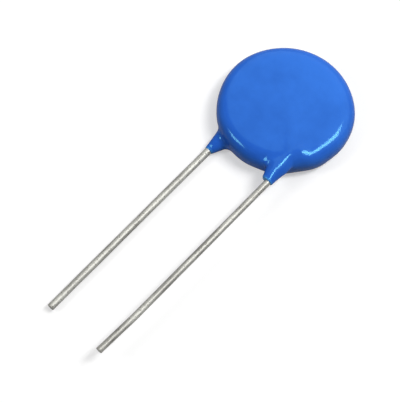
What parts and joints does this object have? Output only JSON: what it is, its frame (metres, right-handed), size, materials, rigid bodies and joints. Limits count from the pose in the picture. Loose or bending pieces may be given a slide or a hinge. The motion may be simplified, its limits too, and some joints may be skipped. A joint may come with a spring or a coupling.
{
  "type": "varistor",
  "caption": "Disc varistor: zinc oxide ceramic with silver electrodes, soldered parallel wire leads and a dipped blue epoxy coating.",
  "frame": {"origin": "middle of the flat back of the coating, on which the part lies", "axes": "+Z through the disc, from its back to its front; +Y from the leads' tips towards the disc; the front lead is on the +X side"},
  "size_m": [0.0142, 0.0393, 0.0033],
  "materials": {
    "blue_epoxy": "glossy dipped epoxy, slightly wavy",
    "zinc_oxide": "dark matte sintered ceramic",
    "fired_silver": "matte fired silver",
    "solder": "satin tin solder",
    "tinned_copper": "satin tinned copper wire"
  },
  "bodies": {
    "root": {"coating": "blue_epoxy", "zinc_oxide_disc": "zinc_oxide", "front_electrode": "fired_silver", "back_electrode": "fired_silver", "front_solder": "solder", "back_solder": "solder", "front_lead": "tinned_copper", "back_lead": "tinned_copper"}
  },
  "joints": []
}
